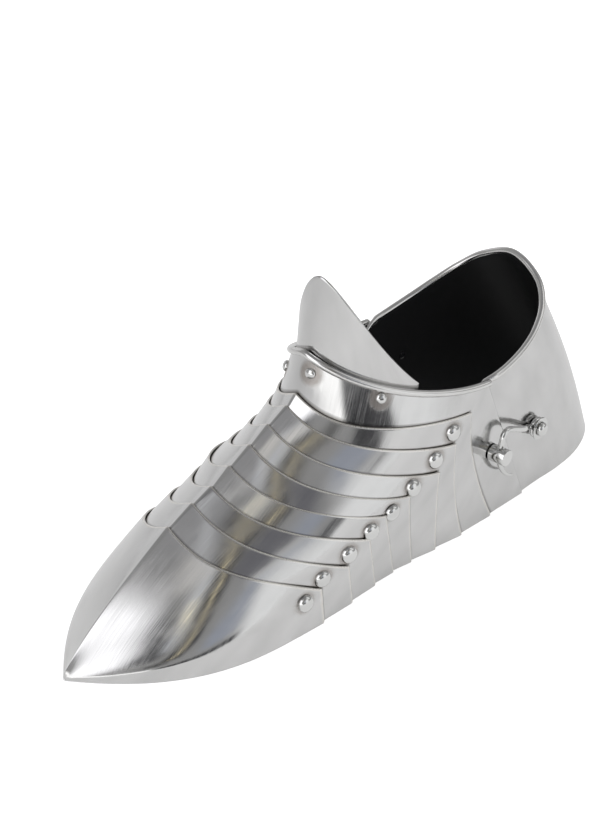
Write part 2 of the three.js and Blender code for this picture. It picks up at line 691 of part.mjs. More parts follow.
knuckled('hinge_leaf_front', 'instep_plate', 1, [0, 2]);
knuckled('hinge_leaf_rear', 'heel_plate', -1, [1]);
const pinEnd = HINGE.half + PIN.clear;
const pinTip = pinEnd + PIN.headHeight;
solids.hinge_pin = toSolid(turned([
  [0, -pinTip],
  [PIN_HEAD, -pinTip],
  [PIN_HEAD, -pinEnd],
  [HINGE.pin, -pinEnd],
  [HINGE.pin, pinEnd],
  [PIN_HEAD, pinEnd],
  [PIN_HEAD, pinTip],
  [0, pinTip],
], KNUCKLE_SIDES).applyMatrix4(knuckleStand));

for (const [name, plate, side] of [['front', 'instep_plate', 1], ['rear', 'heel_plate', -1]]) {
  const from = seamAt.clone().addScaledVector(alongWall, side * HINGE_RIVET.at);
  from.y = -OUTSIDE;
  from.z = HINGE.up;
  const inwards = new THREE.Vector3(0, 1, 0);
  setRivet(`hinge_rivet_${name}`, HINGE_RIVET, [`hinge_leaf_${name}`, plate], from, inwards);
}

const group = new THREE.Group();
for (const [name, solid] of Object.entries(solids)) {
  const plain = name.includes('rivet') || name.includes('washer') || name.includes('stud');
  const mesh = new THREE.Mesh(toGeometry(solid), plain ? BRIGHT : STEEL);
  mesh.name = name;
  group.add(mesh);
}

export default group;
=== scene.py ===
import math
import bpy
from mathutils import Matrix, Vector
from mathutils.bvhtree import BVHTree


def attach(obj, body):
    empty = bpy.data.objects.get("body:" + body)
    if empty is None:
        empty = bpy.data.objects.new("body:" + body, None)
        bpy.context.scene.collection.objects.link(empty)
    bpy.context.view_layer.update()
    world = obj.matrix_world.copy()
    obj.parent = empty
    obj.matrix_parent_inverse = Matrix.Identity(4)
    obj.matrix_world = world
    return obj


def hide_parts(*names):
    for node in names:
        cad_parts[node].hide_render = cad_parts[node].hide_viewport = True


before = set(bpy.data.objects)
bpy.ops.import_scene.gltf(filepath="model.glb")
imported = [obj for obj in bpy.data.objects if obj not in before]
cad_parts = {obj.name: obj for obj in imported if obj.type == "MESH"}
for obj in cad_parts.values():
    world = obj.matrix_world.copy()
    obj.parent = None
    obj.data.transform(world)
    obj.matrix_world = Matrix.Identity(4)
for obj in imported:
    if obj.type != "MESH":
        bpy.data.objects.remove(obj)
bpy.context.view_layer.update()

# Camera
# A long portrait lens, three quarters from the front on the latch side. It stands about 1.1 m
# away and looks down 31 degrees.
camera = bpy.data.objects.new("camera", bpy.data.cameras.new("camera"))
bpy.context.scene.collection.objects.link(camera)
camera.data.sensor_width = 36
camera.data.lens = 93.51
camera.location = (0.6513, 0.6640, 0.6258)
camera.rotation_euler = (math.radians(59), 0, math.radians(136.90))
bpy.context.scene.camera = camera
bpy.context.scene.view_settings.view_transform = "Standard"

# Studio
# White walls low down, grey above, and the lamps, windows and dark doorways that the polished
# steel mirrors. The camera itself sees plain white.
world = bpy.data.worlds.new("studio")
bpy.context.scene.world = world
world.use_nodes = True
studio = world.node_tree
studio.nodes.clear()


def math_node(tree, operation, a, b=None, clamp=False):
    """A sum on two values, each a number or the socket that gives it."""
    node = tree.nodes.new("ShaderNodeMath")
    node.operation = operation
    node.use_clamp = clamp
    for socket, value in zip(node.inputs, (a, b)):
        if value is None:
            continue
        if isinstance(value, (int, float)):
            socket.default_value = value
        else:
            tree.links.new(value, socket)
    return node.outputs[0]


def panel_group():
    """A soft-edged panel in one direction of the room, laid over what it is given."""
    tree = bpy.data.node_groups.new("light_panel", "ShaderNodeTree")
    for name, kind in (("Room", "NodeSocketColor"), ("Direction", "NodeSocketVector"),
                       ("Facing", "NodeSocketVector"), ("Side", "NodeSocketVector"),
                       ("Half width", "NodeSocketFloat"), ("Half height", "NodeSocketFloat"),
                       ("Softness", "NodeSocketFloat"), ("Colour", "NodeSocketColor")):
        tree.interface.new_socket(name, in_out="INPUT", socket_type=kind)
    tree.interface.new_socket("Room", in_out="OUTPUT", socket_type="NodeSocketColor")
    inside = tree.nodes.new("NodeGroupInput")
    outside = tree.nodes.new("NodeGroupOutput")

    def vector(operation, a, b):
        node = tree.nodes.new("ShaderNodeVectorMath")
        node.operation = operation
        tree.links.new(a, node.inputs[0])
        tree.links.new(b, node.inputs[1])
        return node

    get = inside.outputs
    up = vector("CROSS_PRODUCT", get["Facing"], get["Side"]).outputs[0]
    ahead = vector("DOT_PRODUCT", get["Direction"], get["Facing"]).outputs["Value"]
    aside = vector("DOT_PRODUCT", get["Direction"], get["Side"]).outputs["Value"]
    above = vector("DOT_PRODUCT", get["Direction"], up).outputs["Value"]
    mask = None
    for offset, half in ((aside, get["Half width"]), (above, get["Half height"])):
        beyond = math_node(tree, "SUBTRACT", half, math_node(tree, "ABSOLUTE", offset))
        soft = math_node(tree, "DIVIDE", beyond, get["Softness"])
        edge = math_node(tree, "ADD", soft, 0.5, clamp=True)
        mask = edge if mask is None else math_node(tree, "MULTIPLY", mask, edge)
    mask = math_node(tree, "MULTIPLY", mask, math_node(tree, "GREATER_THAN", ahead, 0.0))
    mix = tree.nodes.new("ShaderNodeMix")
    mix.data_type = "RGBA"
    tree.links.new(mask, mix.inputs["Factor"])
    tree.links.new(get["Room"], mix.inputs["A"])
    tree.links.new(get["Colour"], mix.inputs["B"])
    tree.links.new(mix.outputs["Result"], outside.inputs["Room"])
    return tree


light_panel = panel_group()
direction = studio.nodes.new("ShaderNodeTexCoord").outputs["Generated"]
height = studio.nodes.new("ShaderNodeSeparateXYZ")
studio.links.new(direction, height.inputs[0])
room = studio.nodes.new("ShaderNodeValToRGB")
studio.links.new(height.outputs["Z"], room.inputs["Fac"])
FLOOR_LEVEL_WHITE, CEILING_GREY = (0.85, 0.85, 0.85, 1), (0.25, 0.25, 0.26, 1)
WALL_GREYS = ((0.01, 0.42), (0.3, 0.4), (0.6, 0.4), (0.86, 0.36))
room.color_ramp.elements[0].color = FLOOR_LEVEL_WHITE
room.color_ramp.elements[1].color = CEILING_GREY
for level, shade in WALL_GREYS:
    room.color_ramp.elements.new(level).color = (shade, shade, shade, 1)
seen = room.outputs["Color"]
# azimuth, elevation and roll in degrees, then half width, half height and softness as parts of
# the distance, and the colour; a later panel hides an earlier one
PANELS = [
    (106, 8, 0, 0.26, 0.5, 0.2, (1.1, 1.11, 1.12)),
    (-100, 10, 0, 0.4, 0.35, 0.2, (0.8, 0.8, 0.81)),
    (142, 40, 0, 0.15, 0.35, 0.1, (1.1, 1.1, 1.1)),
    (45, 66, 0, 0.2, 0.14, 0.08, (0.39, 0.39, 0.4)),
    (52, 68, 20, 0.02, 0.1, 0.04, (0.85, 0.87, 0.9)),
    (86, 48, 0, 0.1, 0.14, 0.06, (0.19, 0.19, 0.21)),
    (80, 24, 0, 0.15, 0.16, 0.1, (0.42, 0.45, 0.52)),
    (34, 40, 0, 0.16, 0.16, 0.06, (0.15, 0.15, 0.155)),
    (62, 46, -20, 0.085, 0.42, 0.03, (0.10, 0.10, 0.105)),
    (62, 46, -20, 0.014, 0.4, 0.014, (0.9, 0.8, 0.56)),
    (51, 50, -20, 0.045, 0.2, 0.04, (0.72, 0.74, 0.78)),
    (50, 56, 0, 0.12, 0.035, 0.05, (0.95, 0.93, 0.9)),
    (48, 19, 0, 0.09, 0.08, 0.08, (0.12, 0.12, 0.118)),
    (50, 47, 0, 0.025, 0.03, 0.03, (1.7, 1.55, 1.1)),
    (72, 2, 0, 0.34, 0.11, 0.04, (0.07, 0.07, 0.075)),
    (6, 26, 0, 0.3, 0.46, 0.1, (1.9, 1.9, 1.95)),
    (24, 2, 0, 0.41, 0.12, 0.04, (1.8, 1.8, 1.8)),
]
for azimuth, elevation, roll, half_width, half_height, softness, colour in PANELS:
    a, e, r = (math.radians(v) for v in (azimuth, elevation, roll))
    facing = Vector((math.cos(a) * math.cos(e), math.sin(a) * math.cos(e), math.sin(e)))
    level = Vector((-math.sin(a), math.cos(a), 0))
    side = level * math.cos(r) + facing.cross(level) * math.sin(r)
    panel = studio.nodes.new("ShaderNodeGroup")
    panel.node_tree = light_panel
    studio.links.new(seen, panel.inputs["Room"])
    studio.links.new(direction, panel.inputs["Direction"])
    panel.inputs["Facing"].default_value = facing
    panel.inputs["Side"].default_value = side
    panel.inputs["Half width"].default_value = half_width
    panel.inputs["Half height"].default_value = half_height
    panel.inputs["Softness"].default_value = softness
    panel.inputs["Colour"].default_value = (*colour, 1)
    seen = panel.outputs["Room"]
reflected = studio.nodes.new("ShaderNodeBackground")
studio.links.new(seen, reflected.inputs["Color"])
plain = studio.nodes.new("ShaderNodeBackground")
plain.inputs["Color"].default_value = (1, 1, 1, 1)
shown = studio.nodes.new("ShaderNodeMixShader")
studio.links.new(studio.nodes.new("ShaderNodeLightPath").outputs["Is Camera Ray"], shown.inputs[0])
studio.links.new(reflected.outputs[0], shown.inputs[1])
studio.links.new(plain.outputs[0], shown.inputs[2])
studio.links.new(shown.outputs[0], studio.nodes.new("ShaderNodeOutputWorld").inputs["Surface"])

# Overhead light
# One large round softbox above the latch side. The steel does not mirror it, so it only lights
# the floor, the black lining and the shadows.
softbox = bpy.data.objects.new("overhead_light", bpy.data.lights.new("overhead_light", "AREA"))
bpy.context.scene.collection.objects.link(softbox)
softbox.data.shape = "DISK"
softbox.data.size = 1.6
softbox.data.energy = 21
softbox.location = (0.1, 0.7, 1.5)
softbox.visible_glossy = False

# Floor
# A white paper sheet under the part, just clear of it. It glows a little to the camera alone, so
# that it burns out to plain white.
FLOOR_RADIUS, FLOOR_CLEARANCE, FLOOR_GLOW = 1.5, 0.0004, 0.55
bpy.ops.mesh.primitive_circle_add(vertices=96, radius=FLOOR_RADIUS, fill_type="NGON",
                                  location=(0, 0, -FLOOR_CLEARANCE))
floor = bpy.context.object
floor.name = "white_floor"
sheet_white = bpy.data.materials.new("floor_white")
sheet_white.use_nodes = True
paper = sheet_white.node_tree.nodes["Principled BSDF"]
paper.inputs["Base Color"].default_value = (0.8, 0.8, 0.8, 1)
paper.inputs["Roughness"].default_value = 0.9
paper.inputs["Specular IOR Level"].default_value = 0.0
paper.inputs["Emission Color"].default_value = (1, 1, 1, 1)
seen_by = sheet_white.node_tree.nodes.new("ShaderNodeLightPath").outputs["Is Camera Ray"]
glow = math_node(sheet_white.node_tree, "MULTIPLY", seen_by, FLOOR_GLOW)
sheet_white.node_tree.links.new(glow, paper.inputs["Emission Strength"])
floor.data.materials.append(sheet_white)

# Toe cap
# The almond toe, raised from one sheet of 1.2 mm steel with a sharp ridge along the middle, then
# ground and polished along its length. Blackened inside. Its rear edge lies over the first lame.
MM = 0.001
LENGTH, SHEET, GAP = 361, 1.2, 0.35
STEP = SHEET + GAP
# Each row is the rear edge of a plate, from the toe cap back to the ankle plate: how far back and
# up the crown and the corner lie, how far out, the foot below the corner, and the curves between
EDGE_KEYS = ("crownBack", "crownUp", "back", "out", "up", "footBack", "footOut",
             "plan", "front", "ridge", "flare")
EDGES = [dict(zip(EDGE_KEYS, row)) for row in (
    (65.2, 56.2, 118, 50, 19.9, 119.5, 50.3, 2.09, 1.96, 0.61, 1),
    (80.5, 62.8, 134.7, 51.5, 26, 141, 47.8, 1.98, 1.74, 0.55, 1),
    (92.5, 66.8, 148.6, 51.5, 35.4, 159.5, 45, 1.82, 1.61, 0.5, 1),
    (104.1, 73.3, 159.8, 51, 43.5, 174, 43.2, 1.84, 1.6, 0.49, 1),
    (117.1, 79.7, 177.2, 50, 46.7, 187, 43, 1.88, 1.51, 0.49, 1.2),
    (129.1, 86.2, 198.9, 49, 50.6, 203.8, 43.5, 1.98, 1.56, 0.5, 1.5),
    (141.2, 91.6, 211.1, 48, 61.4, 223.2, 43.6, 1.98, 1.53, 0.47, 2),
    (147.2, 95.6, 223.2, 46.5, 73.8, 247.5, 41.3, 2.06, 1.48, 0.44, 1.7),
    (154, 115.5, 238.5, 42.5, 83.5, 275.5, 38, 2, 1.3, 0, 1),
)]
RIM = len(EDGES) - 1
RIDGE_ROUND = 0.011
TOE_WIDEST, TOE_ROUNDNESS, TOE_HOLLOW = 105, 2.75, 0.13
TOE_RISE, TOE_RUN, TOE_LIFT, TOE_SLOPE = EDGES[0]["crownUp"], EDGES[0]["crownBack"], 2, 0.8
TOE_STATIONS = 0.16


def blend(low, high, share):
    return low + (high - low) * share


def at(back, out, up):
    """A place by its distance behind the toe point, in millimetres."""
    return Vector((LENGTH / 2 - back, out, up))


def edge_at(station):
    """The edge table's row at any station between two plates' rear edges."""
    low = min(max(math.floor(station), 0), RIM - 1)
    return {key: blend(EDGES[low][key], EDGES[low + 1][key], station - low) for key in EDGE_KEYS}


def edge_point(row, across):
    """From the crown, at 0, over the shoulder to the corner, at 1, then down to the floor, at 2."""
    side = -1 if across < 0 else 1
    a = abs(across)
    if a > 1:
        down = a - 1
        return at(blend(row["back"], row["footBack"], down ** row["flare"]),
                  side * blend(row["out"], row["footOut"], down), row["up"] * (1 - down))
    t = math.sin(a * math.pi / 2)
    rounded = math.sin(min(1, math.hypot(a, RIDGE_ROUND * (1 - a))) * math.pi / 2)
    swept = 1 - (1 - rounded ** row["plan"]) ** (1 / row["plan"])
    drop = max(0, 1 - rounded ** row["front"]) ** (1 / row["front"])
    return at(blend(row["crownBack"], row["back"], swept), side * row["out"] * t,
              blend(row["up"], row["crownUp"], drop) - row["ridge"] * row["out"] * rounded * (1 - rounded))


def toe_width(back):
    """The toe's share of its full width, back from the point."""
    return max(0, 1 - max(0, 1 - back / TOE_WIDEST) ** TOE_ROUNDNESS)


def ridge_height(back):
    return TOE_LIFT + (TOE_RISE - TOE_LIFT) * (max(back, 0) / TOE_RUN) ** TOE_SLOPE


def toe_point(along, across):
    """The rear edge's points drawn forwards to the toe point, at along 0."""
    end = edge_point(EDGES[0], across)
    end_back = LENGTH / 2 - end.x
    back = end_back * along
    hollow = 1 - TOE_HOLLOW * (1 - along) * math.sin(math.pi * min(1, abs(across)))
    return at(back, end.y * hollow * toe_width(back) / toe_width(end_back),
              end.z * hollow * ridge_height(back) / ridge_height(end_back))


def skin(station, across):
    """The one smooth surface that all the plates are cut from. Station 0 is the toe cap's edge."""
    if station < 0:
        return toe_point(max(0, 1 + TOE_STATIONS * station), across)
    return edge_point(edge_at(station), across)


def skin_normal(station, across):
    """Outwards from the skin, and longer at the ridge, so that offset sheets keep their gap."""
    side = -1 if across < 0 else 1
    a = abs(across)
    nudge = 0.02
    spans = [(0, nudge)] if a < nudge else [(a - nudge, a), (a, min(2, a + nudge))]
    total = Vector((0, 0, 0))
    for low, high in spans:
        if high - low < 1e-6:
            continue
        middle = (low + high) / 2
        wide = skin(station, high) - skin(station, low)
        long = skin(station + nudge, middle) - skin(station - nudge, middle)
        total += wide.cross(long).normalized()
    if a < nudge:
        return Vector((total.x, 0, total.z)) / (total.x ** 2 + total.z ** 2)
    total.normalize()
    return Vector((total.x, side * total.y, total.z))


def spread(low, high, count):
    """Evenly spread values, with both ends."""
    return [blend(low, high, i / count) for i in range(count + 1)]


# close together at the ridge, then even over the shoulder and down the side
CLOSE_TO_RIDGE = [0, 0.006, 0.013, 0.022, 0.034]
HALF = [*CLOSE_TO_RIDGE, *spread(0.05, 1, 58), *spread(1, 2, 30)[1:]]
ACROSS = [-a for a in reversed(HALF[1:])] + HALF


def plate_faces(rear, stations):
    """Outer and inner face of a plate: it sinks one step for each station ahead of its rear edge."""
    outer, inner = [], []
    for station in stations:
        sunk = STEP * (rear - station) if rear else 0
        rows = ([], [])
        for across in ACROSS:
            place, normal = skin(station, across), skin_normal(station, across)
            for row, below in zip(rows, (sunk, sunk + SHEET)):
                p = place - normal * below
                if abs(across) == 2:
                    p.z = 0
                row.append(p)
        outer.append(rows[0])
        inner.append(rows[1])
    return outer, inner


INSIDE_THE_FOOT = Vector((-50, 0, 40))


def rivet_frame(node):
    """Where a rivet stands: the middle of its dome's top, and the way out of the plate.

    Most triangles of a turned piece meet at its two poles, and the outer pole is the dome's top.
    """
    mesh = bpy.data.objects[node].data
    uses = {}
    for polygon in mesh.polygons:
        for index in polygon.vertices:
            corner = tuple(round(v / MM, 2) for v in mesh.vertices[index].co)
            uses[corner] = uses.get(corner, 0) + 1
    poles = sorted(uses, key=uses.get, reverse=True)[:2]
    inner, outer = sorted((Vector(pole) for pole in poles), key=lambda p: (p - INSIDE_THE_FOOT).length)
    return outer, (outer - inner).normalized()


ARC_STEPS, ROUNDED_BELOW, FLAT_BELOW = 4, 2.5, 0.5
# how far the grime reaches round a rivet and fades out, and the width of the painted highlight along a
# rear edge
GRIME_REACH, GRIME_FADE, EDGE_HIGHLIGHT_WIDTH, FAR_OFF = 5.5, 2.2, 0.7, 99


def shell(name, faces, rivets=(), shadow_by_row=None, rear_row=True):
    """A closed sheet: a polished outer face, a blackened inner face, and edges rounded off.

    Edges on the floor stay flat, and so do those where the sheet is folded thick, at the toe
    point. Each row's share of painted shadow is given too, and rear_row says that the rear
    edge gets a painted highlight.
    """
    outer, inner = faces
    rows, columns = len(outer), len(outer[0])
    points, quads, black = [], [], []
    grid = {}
    for layer, face in enumerate((outer, inner)):
        for r in range(rows):
            for c in range(columns):
                grid[layer, r, c] = len(points)
                points.append(face[r][c])
    for r in range(rows - 1):
        for c in range(columns - 1):
            for layer in (0, 1):
                corner = [grid[layer, r, c], grid[layer, r, c + 1], grid[layer, r + 1, c + 1],
                          grid[layer, r + 1, c]]
                quads.append(corner if layer == 0 else corner[::-1])
                black.append(layer)
    loop = [(0, c) for c in range(columns)] + [(r, columns - 1) for r in range(1, rows)]
    loop += [(rows - 1, c) for c in range(columns - 2, -1, -1)]
    loop += [(r, 0) for r in range(rows - 2, 0, -1)]
    rings = [[grid[0, r, c] for r, c in loop]]
    arcs = [[] for _ in range(ARC_STEPS - 1)]
    for i, (r, c) in enumerate(loop):
        top, bottom = outer[r][c], inner[r][c]
        r2, c2 = min(max(r, 1), rows - 2), min(max(c, 1), columns - 2)
        before, after = loop[i - 1], loop[(i + 1) % len(loop)]
        tangent = outer[after[0]][after[1]] - outer[before[0]][before[1]]
        thick = top - bottom
        way = tangent.cross(thick).normalized()
        if way.dot(top - outer[r2][c2]) < 0:
            way.negate()
        bulge = thick.length / 2 if thick.length < ROUNDED_BELOW and top.z > FLAT_BELOW else 0
        for k, arc in enumerate(arcs):
            turn = math.pi * (k + 1) / ARC_STEPS
            arc.append(len(points))
            points.append((top + bottom) / 2 + thick / 2 * math.cos(turn) + way * bulge * math.sin(turn))
    rings += arcs
    rings.append([grid[1, r, c] for r, c in loop])
    for ring, following in zip(rings, rings[1:]):
        for i in range(len(loop)):
            k = (i + 1) % len(loop)
            quads.append([ring[k], ring[i], following[i], following[k]])
            black.append(0)
    mesh = bpy.data.meshes.new(name)
    mesh.from_pydata([p * MM for p in points], [], quads)
    mesh.polygons.foreach_set("material_index", black)
    piece = bpy.data.objects.new(name, mesh)
    bpy.context.scene.collection.objects.link(piece)
    mesh.materials.append(polished)
    mesh.materials.append(blackened)
    # millimetres across and along the plate, for the polishing marks
    across_mm = [[0.0] * columns for _ in range(rows)]
    along_mm = [[0.0] * columns for _ in range(rows)]
    middle = columns // 2
    for r in range(rows):
        for c in range(middle + 1, columns):
            across_mm[r][c] = across_mm[r][c - 1] + (outer[r][c] - outer[r][c - 1]).length
        for c in range(middle - 1, -1, -1):
            across_mm[r][c] = across_mm[r][c + 1] - (outer[r][c] - outer[r][c + 1]).length
    for r in range(rows - 2, -1, -1):
        for c in range(columns):
            along_mm[r][c] = along_mm[r + 1][c] + (outer[r][c] - outer[r + 1][c]).length
    place = {}
    for layer in (0, 1):
        for r in range(rows):
            for c in range(columns):
                place[grid[layer, r, c]] = (across_mm[r][c], along_mm[r][c])
    for arc in arcs:
        for index, (r, c) in zip(arc, loop):
            place[index] = (across_mm[r][c], along_mm[r][c])
    marks = mesh.uv_layers.new(name="plate")
    marks.data.foreach_set("uv", [v for loop_ in mesh.loops for v in place[loop_.vertex_index]])
    # grime gathers round each rivet; painted shadow lies behind the plate ahead,
    # and a painted highlight along the rear edge
    grime = mesh.attributes.new("grime", "FLOAT", "POINT")
    edge_highlight = mesh.attributes.new("edge_highlight", "FLOAT", "POINT")
    seam = mesh.attributes.new("seam", "FLOAT", "POINT")
    if shadow_by_row:
        for (_, r, _), index in grid.items():
            seam.data[index].value = shadow_by_row[r]
    heads = [rivet_frame(node)[0] for node in rivets]
    for index, p in enumerate(points):
        near = min(((p - head).length for head in heads), default=FAR_OFF)
        grime.data[index].value = max(0, 1 - max(0, near - GRIME_REACH) / GRIME_FADE)
        edge_highlight.data[index].value = max(0, 1 - place[index][1] / EDGE_HIGHLIGHT_WIDTH) if rear_row else 0
    mesh.shade_smooth()
    mesh.set_sharp_from_angle(angle=math.radians(50))
    return piece


def coat(name, colour, roughness, metallic, specular=0.5):
    """A plain finish: the material and its shader."""
    material = bpy.data.materials.new(name)
    material.use_nodes = True
    shader = material.node_tree.nodes["Principled BSDF"]
    shader.inputs["Base Color"].default_value = (*colour, 1)
    shader.inputs["Roughness"].default_value = roughness
    shader.inputs["Metallic"].default_value = metallic
    shader.inputs["Specular IOR Level"].default_value = specular
    return material, shader


def marks_group():
    """Polishing marks: fine scratches along the plate, a few across, and smears left by the mop."""
    tree = bpy.data.node_groups.new("polishing_marks", "ShaderNodeTree")
    for name in ("Roughness", "Spread"):
        tree.interface.new_socket(name, in_out="INPUT", socket_type="NodeSocketFloat")
    tree.interface.new_socket("Vector", in_out="INPUT", socket_type="NodeSocketVector")
    for name in ("Roughness", "Height", "Smear"):
        tree.interface.new_socket(name, in_out="OUTPUT", socket_type="NodeSocketFloat")
    inside = tree.nodes.new("NodeGroupInput").outputs
    outside = tree.nodes.new("NodeGroupOutput").inputs

    def streaks(across, along, detail, turn=0.0):
        """Noise stretched along the plate: marks to the millimetre across it and along it."""
        mapping = tree.nodes.new("ShaderNodeMapping")
        mapping.inputs["Rotation"].default_value[2] = turn
        tree.links.new(inside["Vector"], mapping.inputs["Vector"])
        stretch = tree.nodes.new("ShaderNodeVectorMath")
        stretch.operation = "MULTIPLY"
        tree.links.new(mapping.outputs[0], stretch.inputs[0])
        stretch.inputs[1].default_value = (across, along, 0)
        noise = tree.nodes.new("ShaderNodeTexNoise")
        noise.inputs["Scale"].default_value = 1
        noise.inputs["Detail"].default_value = detail
        tree.links.new(stretch.outputs[0], noise.inputs["Vector"])
        return noise.outputs["Fac"]

    fine = streaks(1.7, 0.03, 4)
    crossing = streaks(0.9, 0.05, 3, turn=0.9)
    smear = streaks(0.06, 0.035, 2)
    wave = streaks(0.045, 0.03, 1)
    total = None
    for marks, share in ((fine, 0.7), (crossing, 0.3), (wave, 8)):
        part = math_node(tree, "MULTIPLY", marks, share)
        total = part if total is None else math_node(tree, "ADD", total, part)
    tree.links.new(total, outside["Height"])
    centred = math_node(tree, "SUBTRACT", math_node(tree, "ADD", fine, smear), 1.0)
    varied = math_node(tree, "MULTIPLY", centred, inside["Spread"])
    tree.links.new(math_node(tree, "ADD", varied, inside["Roughness"], clamp=True), outside["Roughness"])
    tree.links.new(smear, outside["Smear"])
    return tree


polishing_marks = marks_group()


def tinted(tree, factor, below, above):
    """One colour over another, by a factor; each colour is three numbers or a socket."""
    mix = tree.nodes.new("ShaderNodeMix")
    mix.data_type = "RGBA"
    tree.links.new(factor, mix.inputs["Factor"])
    for name, colour in (("A", below), ("B", above)):
        if isinstance(colour, tuple):
            mix.inputs[name].default_value = (*colour, 1)
        else:
            tree.links.new(colour, mix.inputs[name])
    return mix.outputs["Result"]


def painted(tree, name):
    """What the mesh's own attribute of that name says."""
    attribute = tree.nodes.new("ShaderNodeAttribute")
    attribute.attribute_name = name
    return attribute.outputs["Fac"]


SMEARED_DARKER, SMEARED_BRIGHTER, MARK_DEPTH = 0.82, 1.16, 0.00002
# brown grime round rivets, the painted shadow behind each plate's edge, and the painted highlight along
# rear edges
GRIME_BROWN, SEAM_SHADOW_BLACK, EDGE_HIGHLIGHT_TINT = (0.13, 0.085, 0.05), (0.05, 0.042, 0.032), (0.82, 0.79, 0.73)
SPECKS, SPECK_CONTRAST, SPECK_CUT = 900, 3.2, 0.95


def polish(name, colour, roughness, marks, bump, grime_and_painted_light=True):
    """Steel ground and polished by hand: bright, with fine marks, brown grime round rivets, painted shadow
    at the seams and a painted highlight along rear edges.
    """
    material, shader = coat(name, colour, roughness, 1.0)
    tree = material.node_tree
    uv = tree.nodes.new("ShaderNodeUVMap")
    uv.uv_map = "plate"
    group = tree.nodes.new("ShaderNodeGroup")
    group.node_tree = polishing_marks
    group.inputs["Roughness"].default_value = roughness
    group.inputs["Spread"].default_value = marks
    tree.links.new(uv.outputs[0], group.inputs["Vector"])
    bumps = tree.nodes.new("ShaderNodeBump")
    bumps.inputs["Strength"].default_value = bump
    bumps.inputs["Distance"].default_value = MARK_DEPTH
    tree.links.new(group.outputs["Height"], bumps.inputs["Height"])
    tree.links.new(bumps.outputs[0], shader.inputs["Normal"])
    rough = group.outputs["Roughness"]
    shade = tinted(tree, group.outputs["Smear"], tuple(c * SMEARED_DARKER for c in colour),
                   tuple(min(1, c * SMEARED_BRIGHTER) for c in colour))
    if grime_and_painted_light:
        speck = tree.nodes.new("ShaderNodeTexNoise")
        speck.inputs["Scale"].default_value = SPECKS
        strong = math_node(tree, "MULTIPLY", speck.outputs["Fac"], SPECK_CONTRAST)
        specks = math_node(tree, "SUBTRACT", strong, SPECK_CUT, clamp=True)
        grime = math_node(tree, "MULTIPLY", painted(tree, "grime"), specks)
        lit_edge = painted(tree, "edge_highlight")
        # brown grime round the rivets, painted shadow behind the plate ahead, and a painted highlight
        # along the rear edge, each with its roughness
        for mask, share, tint, rougher in ((grime, 0.75, GRIME_BROWN, 0.35),
                                           (painted(tree, "seam"), 0.8, SEAM_SHADOW_BLACK, 0),
                                           (lit_edge, 0.6, EDGE_HIGHLIGHT_TINT, 0.16)):
            shade = tinted(tree, math_node(tree, "MULTIPLY", mask, share), shade, tint)
            rough = math_node(tree, "ADD", rough, math_node(tree, "MULTIPLY", mask, rougher))
    tree.links.new(shade, shader.inputs["Base Color"])
    tree.links.new(rough, shader.inputs["Roughness"])
    return material


polished = polish("polished_steel", (0.60, 0.597, 0.592), 0.14, 0.28, 0.62)
blackened, _ = coat("black_lining_paint", (0.009, 0.009, 0.0095), 0.4, 0.0, 0.22)


def lame_rivets(number):
    return [f"lame_rivet_{side}_{number}" for side in ("left", "right")]


def toe_faces():
    """The toe cap's faces. The inner one stops short of the point, where the steel is thicker."""
    alongs = [0.003, 0.012, *spread(0.03, 0.3, 16), *spread(0.3, 0.93, 26)[1:], *spread(0.93, 1, 5)[1:]]
    point_end, inner_start, crowding = 0.15, 0.1, 0.33
    inner_alongs = [max(along, inner_start + crowding * along) if along < point_end else along
                    for along in alongs]
    outer, _ = plate_faces(0, [(along - 1) / TOE_STATIONS for along in alongs])
    _, inner = plate_faces(0, [(along - 1) / TOE_STATIONS for along in inner_alongs])
    return outer, inner


toe = shell("toe_cap_steel", toe_faces(), lame_rivets(1))
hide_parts("toe_cap")
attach(toe, "toe")

# Lames
# Seven curved strips of the same steel, each over the next and riveted to it at both sides, so
# that they slide as the foot bends. Below the rivets they carry on down as a skirt.
LAP, HIDDEN_SPANS, SHOWN_SPANS = 1.06, 3, 15
# a painted shadow line lies behind the edge of the plate ahead: where, and how dark
SEAM_SHADOW_ROWS = [(-0.02, 1), (0, 1), (0.05, 0.85), (0.1, 0.3)]
SEAM_SHADOW_BY_ROW = [1] * (HIDDEN_SPANS + 2) + [shadow_share for _, shadow_share in SEAM_SHADOW_ROWS] + [0] * (SHOWN_SPANS + 1)


def rows_of(number):
    """A plate's stations, from its hidden front edge back to its rear edge."""
    hidden = [number - 1 - LAP, *spread(number - 2, number - 1.1, HIDDEN_SPANS)]
    # the rows that carry the painted shadow behind the plate ahead
    shadowed = [number - 1 + behind for behind, _ in SEAM_SHADOW_ROWS]
    return hidden + shadowed + spread(number - 0.88, number, SHOWN_SPANS)


for number in range(1, RIM):
    lame = shell(f"lame_{number}_steel", plate_faces(number, rows_of(number)),
                 lame_rivets(number) + lame_rivets(number + 1), shadow_by_row=SEAM_SHADOW_BY_ROW)
    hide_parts(f"lame_{number}")
    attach(lame, f"lame_{number}")

# Ankle plate
# The rearmost plate of the upper, cut to the ankle's curve. Its top edge is rolled outwards over
# a wire into a bright bead.
BEAD = 1.85


